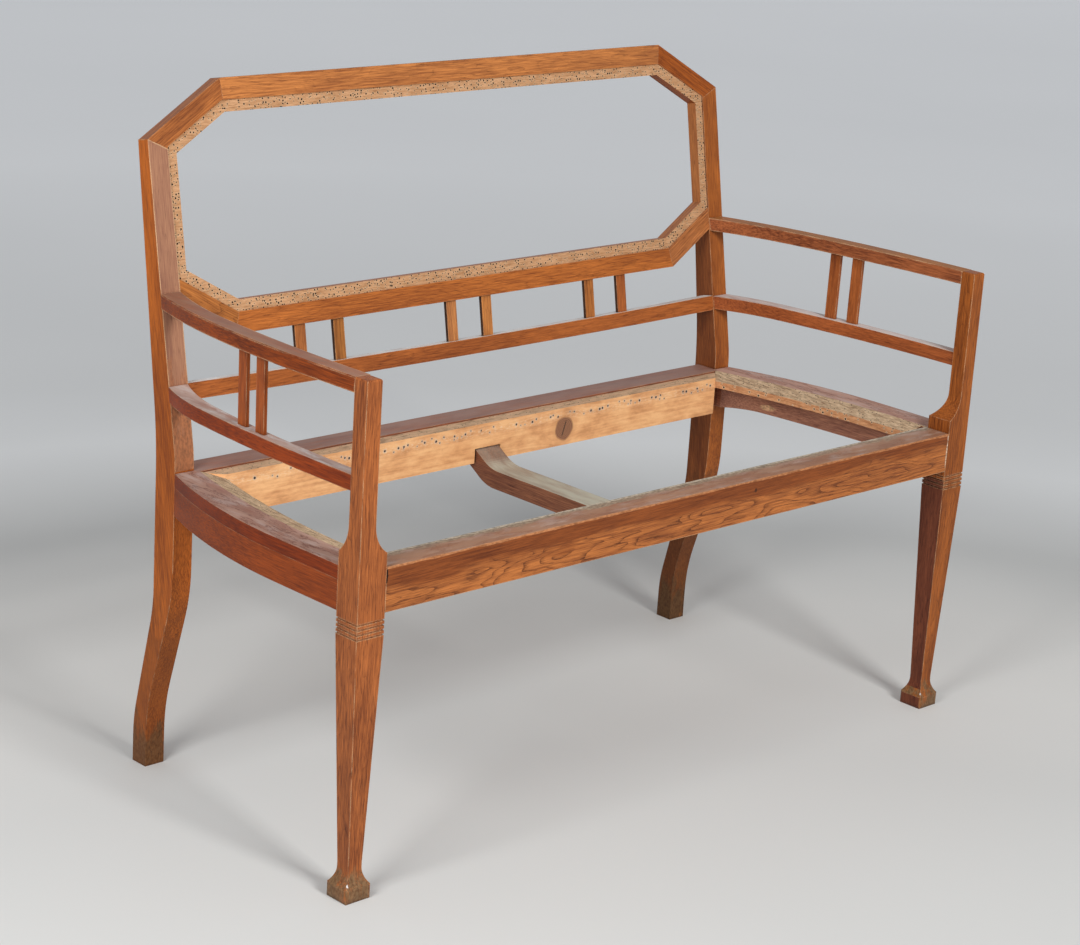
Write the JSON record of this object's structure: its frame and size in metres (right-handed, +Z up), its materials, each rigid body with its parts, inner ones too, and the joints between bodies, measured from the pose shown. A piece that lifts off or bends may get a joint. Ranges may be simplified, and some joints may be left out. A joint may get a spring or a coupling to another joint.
{
  "type": "mission settle",
  "caption": "Stripped wooden settee frame with an eight-sided raked back, slatted arms, grooved tapering front legs and an open seat crossed by a dished brace.",
  "frame": {"origin": "bottom centre of the bounding box, on the floor", "axes": "+X along the seat, to the right of someone who faces the front; +Y from the front to the back; +Z up"},
  "size_m": [1.153, 0.5412, 0.9292],
  "materials": {
    "stained_oak": "worn satin stain",
    "pale_softwood": "bare and planed",
    "brace_wood": "rough, dusty on top",
    "dowel_wood": "bare"
  },
  "bodies": {
    "root": {"arm_left": "stained_oak", "arm_right": "stained_oak", "back_post_left": "stained_oak", "back_post_right": "stained_oak", "back_seat_rail": "stained_oak", "back_slat_1": "stained_oak", "back_slat_2": "stained_oak", "back_slat_3": "stained_oak", "back_slat_4": "stained_oak", "back_slat_5": "stained_oak", "back_slat_6": "stained_oak", "curved_side_rail_left": "stained_oak", "curved_side_rail_right": "stained_oak", "dowels": "dowel_wood", "front_leg_left": "stained_oak", "front_leg_right": "stained_oak", "front_seat_rail": "stained_oak", "inner_back_rail": "pale_softwood", "ledge_strip_left": "stained_oak", "ledge_strip_right": "stained_oak", "lower_corner_left": "stained_oak", "lower_corner_right": "stained_oak", "mid_back_rail": "stained_oak", "mid_side_rail_left": "stained_oak", "mid_side_rail_right": "stained_oak", "panel_bottom_rail": "stained_oak", "seat_board_left": "stained_oak", "seat_board_right": "stained_oak", "seat_brace": "brace_wood", "side_slat_1_left": "stained_oak", "side_slat_1_right": "stained_oak", "side_slat_2_left": "stained_oak", "side_slat_2_right": "stained_oak", "top_rail": "stained_oak", "upper_corner_left": "stained_oak", "upper_corner_right": "stained_oak"}
  },
  "joints": []
}
